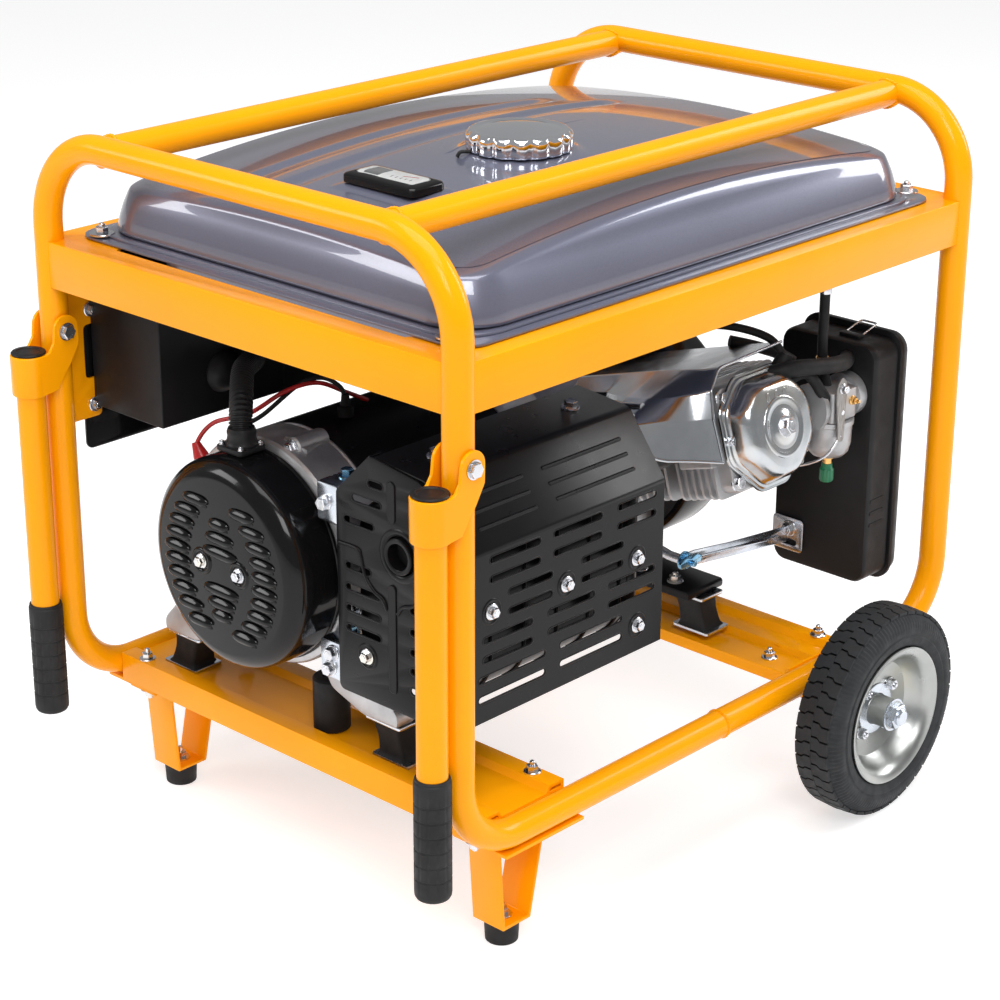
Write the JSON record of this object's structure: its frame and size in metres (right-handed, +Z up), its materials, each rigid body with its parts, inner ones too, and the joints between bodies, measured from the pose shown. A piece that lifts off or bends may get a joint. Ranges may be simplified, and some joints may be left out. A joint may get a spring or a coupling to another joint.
{
  "type": "portable generator",
  "caption": "Open-frame petrol generator with tubular frame, tank, slant engine, alternator, guarded muffler, control panel, wheels, feet and fold-down handles.",
  "frame": {"origin": "floor level under the middle of the whole object, handles folded down", "axes": "+X towards the wheel end, -X towards the handles and alternator, -Y towards the muffler, +Y towards the control panel, +Z up"},
  "size_m": [0.719, 0.658, 0.6487],
  "materials": {
    "frame_paint": "glossy amber-yellow powder coat over steel tube and sheet",
    "tank_paint": "glossy grey-violet metallic paint",
    "black_paint": "gloss and satin black paint on pressed steel",
    "black_plastic": "moulded black plastic",
    "rubber": "matt black rubber",
    "tyre": "solid rubber tyre, blocky tread",
    "zinc": "bright zinc-plated steel",
    "chrome": "polished chrome plate",
    "cast_aluminium": "sand-cast aluminium, satin",
    "rotor_steel": "steel shaft with varnished windings",
    "foam": "open-cell filter foam"
  },
  "bodies": {
    "frame": {"hoop_handle_end": "frame_paint", "hoop_wheel_end": "frame_paint", "top_rail_muffler_side": "frame_paint", "top_rail_panel_side": "frame_paint", "tank_ring": "frame_paint", "tray_alternator_end": "frame_paint", "tray_wheel_end": "frame_paint", "leg_muffler_side": "frame_paint", "leg_panel_side": "frame_paint", "foot_muffler_side": "rubber", "foot_panel_side": "rubber", "buffer": "rubber", "alternator_mount_muffler_side": "rubber", "alternator_mount_panel_side": "rubber", "engine_mount_muffler_side": "rubber", "engine_mount_panel_side": "rubber", "cable_conduit": "rubber", "axle": "zinc", "pivot_bolt_muffler_side": "zinc", "pivot_bolt_panel_side": "zinc", "cylinder_shroud": "zinc", "air_box_bracket": "zinc", "fuel_tank": "tank_paint", "rocker_cover": "chrome", "fuel_gauge": "black_plastic", "air_box": "black_plastic", "air_box_lid": "black_plastic", "control_box": "black_plastic", "control_panel": "black_plastic", "fuel_valve": "cast_aluminium", "crankcase": "cast_aluminium", "cylinder_head": "cast_aluminium", "alternator_end_bell": "cast_aluminium", "alternator_adaptor": "cast_aluminium", "carburettor": "cast_aluminium", "fan_housing": "black_paint", "recoil_housing": "black_paint", "alternator_end_cover": "black_paint", "alternator_stator": "black_paint", "muffler": "black_paint", "muffler_end_guard": "black_paint", "muffler_side_guard": "black_paint", "air_filter": "foam"},
    "handle_muffler_side": {"handle_muffler_side": "frame_paint", "grip_muffler_side": "rubber"},
    "handle_panel_side": {"handle_panel_side": "frame_paint", "grip_panel_side": "rubber"},
    "wheel_muffler_side": {"tyre_muffler_side": "tyre", "rim_muffler_side": "zinc"},
    "wheel_panel_side": {"tyre_panel_side": "tyre", "rim_panel_side": "zinc"},
    "shaft": {"rotor": "rotor_steel", "flywheel": "cast_aluminium"},
    "fuel_cap": {"fuel_cap": "chrome"},
    "fuel_valve_lever": {"fuel_valve_lever": "black_plastic"},
    "starter_grip": {"starter_grip": "black_plastic"},
    "socket_lid_1": {"socket_lid_1": "black_plastic"},
    "socket_lid_2": {"socket_lid_2": "black_plastic"},
    "engine_switch": {"engine_switch": "black_plastic"},
    "breaker_toggle": {"breaker_toggle": "black_plastic"}
  },
  "joints": [
    {"name": "handle_fold_muffler_side", "type": "hinge", "parent": "frame", "child": "handle_muffler_side", "pos_m": [-0.3132, -0.2458, 0.465], "axis": [0, 1, 0], "range_deg": [0, 90]},
    {"name": "handle_fold_panel_side", "type": "hinge", "parent": "frame", "child": "handle_panel_side", "pos_m": [-0.3132, 0.2458, 0.465], "axis": [0, 1, 0], "range_deg": [0, 90]},
    {"name": "wheel_spin_muffler_side", "type": "hinge", "parent": "frame", "child": "wheel_muffler_side", "pos_m": [0.1878, -0.297, 0.1], "axis": [0, 1, 0], "continuous": true},
    {"name": "wheel_spin_panel_side", "type": "hinge", "parent": "frame", "child": "wheel_panel_side", "pos_m": [0.1878, 0.297, 0.1], "axis": [0, 1, 0], "continuous": true},
    {"name": "shaft_spin", "type": "hinge", "parent": "frame", "child": "shaft", "pos_m": [0.0168, 0.04, 0.295], "axis": [1, 0, 0], "continuous": true},
    {"name": "fuel_cap_turn", "type": "hinge", "parent": "frame", "child": "fuel_cap", "pos_m": [-0.0262, -0.042, 0.622], "axis": [0, 0, 1], "range_deg": [0, 90]},
    {"name": "fuel_valve_turn", "type": "hinge", "parent": "frame", "child": "fuel_valve_lever", "pos_m": [0.1768, 0.18, 0.4677], "axis": [0, 1, 0], "range_deg": [0, 90]},
    {"name": "starter_pull", "type": "slide", "parent": "frame", "child": "starter_grip", "axis": [0, 1, 0], "range_m": [0, 0.6], "stiffness_N_per_m": 12},
    {"name": "socket_lid_flip_1", "type": "hinge", "parent": "frame", "child": "socket_lid_1", "pos_m": [-0.0432, 0.2637, 0.452], "axis": [1, 0, 0], "range_deg": [0, 100], "stiffness_Nm_per_rad": 0.03},
    {"name": "socket_lid_flip_2", "type": "hinge", "parent": "frame", "child": "socket_lid_2", "pos_m": [0.0468, 0.2637, 0.452], "axis": [1, 0, 0], "range_deg": [0, 100], "stiffness_Nm_per_rad": 0.03},
    {"name": "engine_switch_turn", "type": "hinge", "parent": "frame", "child": "engine_switch", "pos_m": [-0.2282, 0.2514, 0.425], "axis": [0, 1, 0], "range_deg": [0, 60]},
    {"name": "breaker_flip", "type": "hinge", "parent": "frame", "child": "breaker_toggle", "pos_m": [-0.1082, 0.2569, 0.425], "axis": [1, 0, 0], "range_deg": [-15, 15]}
  ]
}
